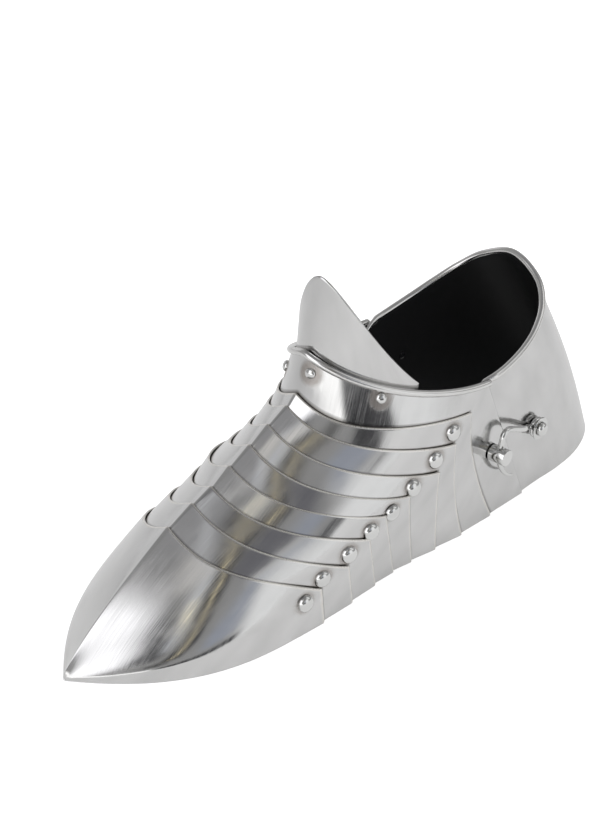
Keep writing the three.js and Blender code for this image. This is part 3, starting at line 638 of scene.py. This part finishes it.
def rod(name, centres, radii, sides=20):
    """A round bar along a line of centres, with rounded ends."""
    def ring(centre, axis, radius, up):
        up = (up - axis * up.dot(axis)).normalized()
        aside = axis.cross(up)
        turns = [2 * math.pi * k / sides for k in range(sides)]
        return up, [centre + (up * math.cos(turn) + aside * math.sin(turn)) * radius for turn in turns]

    axes = []
    for i in range(len(centres)):
        axes.append((centres[min(i + 1, len(centres) - 1)] - centres[max(i - 1, 0)]).normalized())
    rounding = [k * math.pi / 8.4 for k in (1, 2, 3, 4)]
    first = [(centres[0] - axes[0] * radii[0] * math.sin(turn), axes[0], radii[0] * math.cos(turn))
             for turn in reversed(rounding)]
    last = [(centres[-1] + axes[-1] * radii[-1] * math.sin(turn), axes[-1], radii[-1] * math.cos(turn))
            for turn in rounding]
    stops = first + list(zip(centres, axes, radii)) + last
    up = axes[0].orthogonal()
    points, quads, lengths = [], [], []
    run = 0.0
    for index, (centre, axis, radius) in enumerate(stops):
        up, ring_points = ring(centre, axis, radius, up)
        points += ring_points
        run += (centre - stops[index - 1][0]).length if index else 0
        lengths += [run] * sides
    for r in range(len(stops) - 1):
        for k in range(sides):
            n = (k + 1) % sides
            quads.append([r * sides + k, r * sides + n, (r + 1) * sides + n, (r + 1) * sides + k])
    quads.append(list(reversed(range(sides))))
    quads.append([(len(stops) - 1) * sides + k for k in range(sides)])
    return solid(name, points, quads, lengths)


def solid(name, points, faces, lengths=None):
    """A closed piece from points in millimetres, with marks running along it."""
    mesh = bpy.data.meshes.new(name)
    mesh.from_pydata([p * MM for p in points], [], faces)
    piece = bpy.data.objects.new(name, mesh)
    bpy.context.scene.collection.objects.link(piece)
    marks = mesh.uv_layers.new(name="plate")
    for corner in mesh.loops:
        p = points[corner.vertex_index]
        along = lengths[corner.vertex_index] if lengths else p.x
        marks.data[corner.index].uv = (p.z + p.y, along)
    mesh.shade_smooth()
    mesh.set_sharp_from_angle(angle=math.radians(40))
    mesh.materials.append(bright)
    return piece


bright = polish("bright_rivet_steel", (0.66, 0.66, 0.65), 0.13, 0.08, 0.2, grime_and_painted_light=False)
rim_steel = polish("rim_steel", (0.66, 0.655, 0.645), 0.2, 0.1, 0.3, grime_and_painted_light=False)
small_rivets = [f"tongue_rivet_{side}" for side in ("right", "middle", "left")]
instep = shell("instep_plate_steel", plate_faces(RIM, rows_of(RIM)),
               lame_rivets(RIM) + small_rivets, shadow_by_row=SEAM_SHADOW_BY_ROW, rear_row=False)
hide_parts("instep_plate")
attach(instep, "ankle")
rim_line = []
for across in spread(-1, 1, 150):
    rim_line.append(skin(RIM, across) + skin_normal(RIM, across).normalized() * (BEAD - SHEET))
rim_bead = rod("instep_rim_bead", rim_line, [BEAD] * len(rim_line))
rim_bead.data.materials[0] = rim_steel
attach(rim_bead, "ankle")

# Heel plate
# One sheet bent round the heel, its front edges tucked inside the ankle plate. It has the same
# rolled bead along the top, and opens on the hinge.
# Rows from the ankle plate to the middle of the back: the rim's place back, out and up, the
# foot's place back and out, and how far the wall swells between them
HEEL_SIDE = [
    (238.6, 40.97, 83.5, 275.7, 36.47, 0),
    (253, 40.7, 86.2, 290, 34.9, 0.4),
    (268, 38.8, 90.5, 308, 33.6, 0.8),
    (281, 35.1, 96.2, 326, 30, 1.4),
    (292, 28.7, 103.5, 342.5, 23, 2.2),
    (299, 18.2, 111.7, 355, 13, 2.9),
    (301.2, 0, 118.2, 360.2, 0, 3),
]
HEEL_REACH, HEEL_TUCK, LOOK_ASIDE = 0.22, 1, 0.05
HEEL_COLUMNS, HEEL_ROWS, FLAP_COLUMNS = 10, 30, 5
right_side = [(back, -out, up, foot_back, -foot_out, swell)
              for back, out, up, foot_back, foot_out, swell in HEEL_SIDE]
heel_rows = right_side + HEEL_SIDE[-2::-1]


def curve_at(rows, t):
    """A smooth curve through rows of numbers, at t rows from the first."""
    i = min(int(t), len(rows) - 2)
    f = t - i
    p1, p2 = rows[i], rows[i + 1]
    p0 = rows[i - 1] if i else [2 * a - b for a, b in zip(p1, p2)]
    p3 = rows[i + 2] if i + 2 < len(rows) else [2 * b - a for a, b in zip(p1, p2)]
    return [0.5 * (2 * b + (c - a) * f + (2 * a - 5 * b + 4 * c - d) * f * f
                   + (3 * b - a - 3 * c + d) * f ** 3) for a, b, c, d in zip(p0, p1, p2, p3)]


def heel_faces():
    """The wall round the heel, with a flap at each end that lies inside the ankle plate."""
    downs = spread(0, 1, HEEL_ROWS)
    spans = len(heel_rows) - 1
    wall = []
    for t in spread(0, spans, spans * HEEL_COLUMNS):
        rim_back, rim_out, rim_up, foot_back, foot_out, swell = curve_at(heel_rows, t)
        ahead = curve_at(heel_rows, min(t + LOOK_ASIDE, spans))
        behind = curve_at(heel_rows, max(t - LOOK_ASIDE, 0))
        # outwards is square to the plan of the foot edge
        run_x, run_y = -(ahead[3] - behind[3]), ahead[4] - behind[4]
        out = Vector((-run_y, run_x, 0)).normalized()
        rim, foot = at(rim_back, rim_out, rim_up), at(foot_back, foot_out, 0)
        wall.append([rim.lerp(foot, down) + out * swell * math.sin(math.pi * down) for down in downs])
    flap = []
    for reach in spread(HEEL_REACH, 0, FLAP_COLUMNS)[:-1]:
        station = RIM - reach
        sunk = STEP * (1 + reach) + HEEL_TUCK * reach / HEEL_REACH
        flap.append([skin(station, 1 + d) - skin_normal(station, 1 + d) * sunk for d in downs])
    mirrored = [[Vector((p.x, -p.y, p.z)) for p in column] for column in flap]
    columns = mirrored + wall + flap[::-1]
    outer = [[column[r] for column in columns] for r in range(len(downs))]
    for row in outer[-1]:
        row.z = 0
    return outer, offset(outer, SHEET)


def offset(outer, depth):
    """The inner face of a sheet, a depth below its outer face."""
    inner = []
    for r, row in enumerate(outer):
        line = []
        for c, p in enumerate(row):
            wide = row[min(c + 1, len(row) - 1)] - row[max(c - 1, 0)]
            long = outer[min(r + 1, len(outer) - 1)][c] - outer[max(r - 1, 0)][c]
            q = p - wide.cross(long).normalized() * depth
            if abs(p.z) < 1e-6:
                q.z = 0
            line.append(q)
        inner.append(line)
    return inner


heel_outer, heel_inner = heel_faces()
heel = shell("heel_plate_steel", (heel_outer, heel_inner), rear_row=False)
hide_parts("heel_plate")
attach(heel, "heel")
# the bead starts thin inside the ankle plate, and grows within a few columns of coming out
THIN_BEAD, THIN_BEAD_OUT, GROWING_COLUMNS = 1.15, -0.65, 4
heel_line, heel_radii = [], []
for c in range(len(heel_outer[0])):
    top, under = heel_outer[0][c], heel_inner[0][c]
    from_end = min(c, len(heel_outer[0]) - 1 - c)
    grown = min(1, max(0, (from_end - FLAP_COLUMNS) / GROWING_COLUMNS))
    raised = blend(THIN_BEAD_OUT, BEAD - SHEET, grown)
    heel_line.append(top + (top - under).normalized() * raised)
    heel_radii.append(blend(THIN_BEAD, BEAD, grown))
heel_bead = rod("heel_rim_bead", heel_line, heel_radii)
heel_bead.data.materials[0] = rim_steel
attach(heel_bead, "heel")

# Tongue
# A shield-shaped blade that stands up in front of the shin. It is smooth steel, riveted inside
# the ankle plate at three places.
TONGUE_MIDDLE, TONGUE_RIGHT, TONGUE_LEFT = 3.5, -30.7, 33.2
TONGUE_PEAK, TONGUE_FALL, TONGUE_ROUNDNESS, TONGUE_LEAN = 154.8, 0.1074, 1.8, 0.1
TONGUE_TUCK, TONGUE_CLEARANCE = 0.55, 0.65
TONGUE_COLUMNS, TUCKED_ROWS, STANDING_ROWS = 64, 10, 30
tongue_columns = []
for aside in spread(TONGUE_RIGHT, TONGUE_LEFT, TONGUE_COLUMNS):
    out = TONGUE_MIDDLE + aside
    column = []
    for station in spread(RIM - TONGUE_TUCK, RIM, TUCKED_ROWS):
        across = 2 * math.asin(out / edge_at(station)["out"]) / math.pi
        sunk = STEP * (1 + RIM - station) + TONGUE_CLEARANCE
        column.append(skin(station, across) - skin_normal(station, across) * sunk)
    seat = column[-1]
    top = TONGUE_PEAK - TONGUE_FALL * abs(aside) ** TONGUE_ROUNDNESS
    for rise in spread(0, 1, STANDING_ROWS)[1:]:
        up = (top - seat.z) * rise
        column.append(seat + Vector((-TONGUE_LEAN * up, 0, up)))
    tongue_columns.append(column)
tongue_outer = [[column[r] for column in tongue_columns] for r in range(len(tongue_columns[0]))]
tongue = shell("tongue_steel", (tongue_outer, offset(tongue_outer, SHEET)), rear_row=False)
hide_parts("tongue")
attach(tongue, "ankle")

# Rivets
# Domed steel rivets, hammered over inside, where black paint covers them. Large ones join the
# plates at both sides, and small ones hold the tongue and the hinge.
LAME_RIVET = {"radius": 4.5, "rise": 3.2, "shank": 1.9, "peen": 2.4}
SMALL_RIVET = {"radius": 2.8, "rise": 2.0, "shank": 1.3, "peen": 2.0}
PAINTED_DEPTH = 1.2
blackened_rivet, _ = coat("black_paint_on_rivets", (0.008, 0.008, 0.009), 0.18, 0.0, 0.6)


def lathe(name, profile, top, axis, sides=36):
    """A turned piece from (radius, height) pairs; height 0 is at top, and axis points outwards."""
    side = axis.orthogonal().normalized()
    up = axis.cross(side)
    points, faces = [], []
    for radius, high in profile:
        if radius == 0:
            points.append(top + axis * high)
            continue
        for k in range(sides):
            turn = 2 * math.pi * k / sides
            points.append(top + axis * high + (side * math.cos(turn) + up * math.sin(turn)) * radius)
    start = 0
    for (low, _), (high, _) in zip(profile, profile[1:]):
        after = start + (1 if low == 0 else sides)
        for k in range(sides):
            n = (k + 1) % sides
            if low == 0:
                faces.append([start, after + n, after + k])
            elif high == 0:
                faces.append([start + k, start + n, after])
            else:
                faces.append([start + k, start + n, after + n, after + k])
        start = after
    return solid(name, points, faces)


def dome(radius, rise, steps=10):
    """Profile of a domed head: a low skirt, then a round cap."""
    cap, fullness = rise * 0.86, 0.85
    turns = [math.pi / 2 * k / steps for k in range(1, steps)]
    rounded = [(radius * math.cos(turn) ** fullness, -cap * (1 - math.sin(turn))) for turn in turns]
    return [(radius, -rise), (radius, -cap), *rounded, (0, 0)]


def rivet(node, body, radius, rise, shank, peen):
    """One rivet, in the place and to the depth of its node: back, shank and dome."""
    top, axis = rivet_frame(node)
    mesh = bpy.data.objects[node].data
    depth = max((top - v.co / MM).dot(axis) for v in mesh.vertices)
    profile = [(0, -depth + 0.45), (peen * 0.5, -depth + 0.5), (peen * 0.85, -depth + 0.7),
               (peen, -depth + 0.9), (peen, -depth + 1), (shank, -depth + 1), (shank, -rise)]
    profile += dome(radius, rise)
    piece = lathe(f"{node}_head", profile, top, axis)
    piece.data.materials.append(blackened_rivet)
    for polygon in piece.data.polygons:
        if (top - polygon.center / MM).dot(axis) > depth - PAINTED_DEPTH:
            polygon.material_index = 1
    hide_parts(node)
    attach(piece, body)


for number in range(1, RIM + 1):
    for node in lame_rivets(number):
        rivet(node, "ankle" if number == RIM else f"lame_{number}", **LAME_RIVET)
for node in (*small_rivets, "hinge_rivet_front"):
    rivet(node, "ankle", **SMALL_RIVET)
rivet("hinge_rivet_rear", "heel", **SMALL_RIVET)

# Latch hook
# A forged wire hook with an eye, which turns on a rivet in the heel plate. It rises from the
# plate and bends down, and its thin end drops through a stud. Lifting it frees the heel.
pivot = Vector((-101.5, 37.163, 38.5))
forwards = Vector((0.99368, 0.10877, 0.0276))
outwards = Vector((-0.10803, 0.99378, -0.02694))
lift = forwards.cross(outwards)
EYE_RADIUS, EYE_HEIGHT, HOOK_HEIGHT, HOOK_WIRE, TIP_WIRE = 4.1, 2.05, 4.75, 1.55, 0.55
ARM_SLOPE, RISE_FROM, RISE_TO = 23, 8, 18
# the arm's last stretch: how far from the pivot, and at how many degrees
ARM_END = ((22, 23), (26, 23), (30, 23), (33, 22.6), (35, 20.8))
HOOK_REACH, BEND_FROM, CURL_FROM, BEND_TO, TIP_CURL, CURL_POWER = 36, 17.5, -4, -38, 7, 1.5
TAPER_STEPS = 11


def on_latch(ahead, out, up):
    return pivot + forwards * ahead + outwards * out + lift * up


def on_arc(radius, degrees, out):
    turn = math.radians(degrees)
    return on_latch(radius * math.cos(turn), out, radius * math.sin(turn))


arm = [on_arc(EYE_RADIUS, ARM_SLOPE, EYE_HEIGHT), on_arc(RISE_FROM, ARM_SLOPE, EYE_HEIGHT)]
for share in spread(0, 1, 6)[1:]:
    ease = share * share * (3 - 2 * share)
    arm.append(on_arc(blend(RISE_FROM, RISE_TO, share), ARM_SLOPE, blend(EYE_HEIGHT, HOOK_HEIGHT, ease)))
arm += [on_arc(radius, degrees, HOOK_HEIGHT) for radius, degrees in ARM_END]
for degrees in spread(BEND_FROM, BEND_TO, 20):
    curled = max(0, CURL_FROM - degrees) / (CURL_FROM - BEND_TO)
    arm.append(on_arc(HOOK_REACH - TIP_CURL * curled ** CURL_POWER, degrees, HOOK_HEIGHT))
full_wire = [HOOK_WIRE] * (len(arm) - 1 - TAPER_STEPS)
hook = rod("hook_arm", arm, full_wire + spread(HOOK_WIRE, TIP_WIRE, TAPER_STEPS))
eye_line = [on_arc(EYE_RADIUS, degrees, EYE_HEIGHT) for degrees in spread(15, 372, 40)]
eye = rod("hook_eye", eye_line, [HOOK_WIRE] * len(eye_line))
for piece in (hook, eye):
    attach(piece, "hook")
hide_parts("latch_hook")

# Latch washer and rivet
# A round washer lies on the hook's eye, and a domed rivet through both is hammered over inside
# the heel plate. The hook turns between washer and plate.
WASHER_HOLE, WASHER_RADIUS, WASHER_THICK, WASHER_EDGE = 2.6, 6.2, 1, 0.2
WASHER_HEIGHT, ROOM_OVER_WASHER = 3.9, 0.3
washer_profile = [(WASHER_HOLE, 0), (WASHER_RADIUS - WASHER_EDGE, 0), (WASHER_RADIUS, WASHER_EDGE),
                  (WASHER_RADIUS, WASHER_THICK - WASHER_EDGE), (WASHER_RADIUS - WASHER_EDGE, WASHER_THICK),
                  (WASHER_HOLE, WASHER_THICK), (WASHER_HOLE, 0)]
washer = lathe("hook_washer", washer_profile, on_latch(0, WASHER_HEIGHT, 0), outwards)
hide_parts("latch_washer")
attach(washer, "heel")
PIVOT_HEAD, PIVOT_RISE, PIVOT_SHANK = 3.8, 2.8, 2.1
PIVOT_PEEN, PIVOT_PEEN_THICK, PIVOT_LENGTH = 3.2, 0.9, 10.6
peen_top = PIVOT_PEEN_THICK - PIVOT_LENGTH
pivot_profile = [(0, -PIVOT_LENGTH), (PIVOT_PEEN, -PIVOT_LENGTH), (PIVOT_PEEN, peen_top),
                 (PIVOT_SHANK, peen_top), (PIVOT_SHANK, -PIVOT_RISE), *dome(PIVOT_HEAD, PIVOT_RISE)]
pivot_top = on_latch(0, WASHER_HEIGHT + WASHER_THICK + ROOM_OVER_WASHER + PIVOT_RISE, 0)
pivot_rivet = lathe("hook_pivot_rivet", pivot_profile, pivot_top, outwards)
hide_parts("latch_rivet")
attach(pivot_rivet, "heel")

# Latch stud
# A turned steel stud riveted through the ankle plate, with a slot across it that is open to the
# rear. The hook's thin end rests in the slot.
stud_base = Vector((-65.5, 41.103, 39.5))
# radius and height: the back inside the plate, the shank, the barrel and its rounded end
STUD_PROFILE = [(0, -2.6), (3.4, -2.6), (3.4, -1.6), (2.4, -1.6), (2.4, 0.47), (4.5, 0.47),
                (4.5, 9.4), (4.25, 9.85), (3.9, 9.97), (0, 9.97)]
SLOT_AHEAD, SLOT_OUT, SLOT_UP = (-8, 2.0), (2.75, 6.75), (-9, 9)
BOX_SIDES = [[0, 1, 3, 2], [4, 6, 7, 5], [0, 4, 5, 1], [2, 3, 7, 6], [0, 2, 6, 4], [1, 5, 7, 3]]
stud = lathe("hook_stud", STUD_PROFILE, stud_base, outwards, sides=48)
slot_corners = [stud_base + forwards * ahead + outwards * out + lift * up
                for ahead in SLOT_AHEAD for out in SLOT_OUT for up in SLOT_UP]
cutter = solid("slot_cutter", slot_corners, BOX_SIDES)
cut = stud.modifiers.new("slot", "BOOLEAN")
cut.operation = "DIFFERENCE"
cut.object = cutter
cut.solver = "EXACT"
bpy.context.view_layer.update()
cut_mesh = bpy.data.meshes.new_from_object(stud.evaluated_get(bpy.context.evaluated_depsgraph_get()))
stud.modifiers.clear()
stud.data = cut_mesh
bpy.data.objects.remove(cutter)
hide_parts("latch_stud")
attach(stud, "ankle")

# Hinge
# Two small leaves with rounded corners, riveted to the ankle and heel plates on the inner side,
# with three rolled knuckles round a pin that lies along the seam.
seam = Vector((-69.52, -41.10, 57.5))
seam_axis = Vector((0.40463, -0.04921, 0.91316))
off_wall = Vector((-0.1201, -0.99276, 0))
along_wall = Vector((0.9928, -0.12, 0))
knuckle = Vector((-69.92, -44.375, 57.5))
LEAF, LEAF_HALF, LEAF_CORNER, LEAF_THICK = 19, 8.5, 8, 1.2
LEAF_CLEARANCE, LEAF_COLUMNS, LEAF_ROWS = 0.4, 16, 12
# the leaf follows its plate, except close to the seam, where it runs straight to the knuckles
LOOK_FROM, STRAIGHT_SHARE = 7, 0.1
KNUCKLE_HOLE, KNUCKLE_RADIUS, KNUCKLE_EDGE, KNUCKLE_ROOM = 1.5, 2.6, 0.3, 0.25


def leaf_sheet(name, plate, side):
    """A leaf laid on its plate; side is 1 in front of the seam and -1 behind it."""
    wall = BVHTree.FromPolygons([v.co / MM for v in plate.data.vertices],
                                [p.vertices for p in plate.data.polygons])
    columns = []
    for reach in spread(0, 1, LEAF_COLUMNS):
        past = max(0, reach * LEAF - (LEAF - LEAF_CORNER))
        half = LEAF_HALF - LEAF_CORNER + math.sqrt(max(0, LEAF_CORNER ** 2 - past ** 2))
        column = []
        for share in spread(-1, 1, LEAF_ROWS):
            up = share * half
            run = blend(up * seam_axis.x / seam_axis.z, side * LEAF, reach)
            start = seam + along_wall * run + off_wall * LOOK_FROM
            start.z = seam.z + up
            found = wall.ray_cast(start, -off_wall)[3]
            depth = found if reach > STRAIGHT_SHARE and found else LOOK_FROM
            column.append(start - off_wall * (depth - LEAF_CLEARANCE - LEAF_THICK))
        columns.append(column)
    if side > 0:
        columns.reverse()
    outer = [[column[r] for column in columns] for r in range(LEAF_ROWS, -1, -1)]
    inner = [[p - off_wall * LEAF_THICK for p in row] for row in outer]
    sheet = shell(name, (outer, inner), rear_row=False)
    sheet.data.materials[0] = bright
    return sheet


def leaf_knuckle(name, third):
    """One of the three knuckles, 0 at the bottom, with a little room to the next."""
    ends = [-LEAF_HALF, -LEAF_HALF / 3, LEAF_HALF / 3, LEAF_HALF]
    low = ends[third] + (KNUCKLE_ROOM if third > 0 else 0)
    high = ends[third + 1] - (KNUCKLE_ROOM if third < 2 else 0)
    shoulder = KNUCKLE_RADIUS - KNUCKLE_EDGE
    ring = [(KNUCKLE_HOLE, low), (shoulder, low), (KNUCKLE_RADIUS, low + KNUCKLE_EDGE),
            (KNUCKLE_RADIUS, high - KNUCKLE_EDGE), (shoulder, high), (KNUCKLE_HOLE, high),
            (KNUCKLE_HOLE, low)]
    return lathe(f"{name}_knuckle_{third}", ring, knuckle, seam_axis)


for node, plate, side, thirds, body in (("hinge_leaf_front", instep, 1, (0, 2), "ankle"),
                                        ("hinge_leaf_rear", heel, -1, (1,), "heel")):
    sheet = leaf_sheet(f"{node}_steel", plate, side)
    for piece in (sheet, *(leaf_knuckle(sheet.name, third) for third in thirds)):
        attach(piece, body)
    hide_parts(node)
# radius and height of the pin's upper half: the shank, then a hammered end
PIN_HALF = [(1.2, 8.9), (1.7, 8.9), (1.7, 9.4), (1.6, 9.8), (0, 9.8)]
pin_profile = [(radius, -high) for radius, high in reversed(PIN_HALF)] + PIN_HALF
pin = lathe("hinge_pin_steel", pin_profile, knuckle, seam_axis)
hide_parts("hinge_pin")
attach(pin, "ankle")
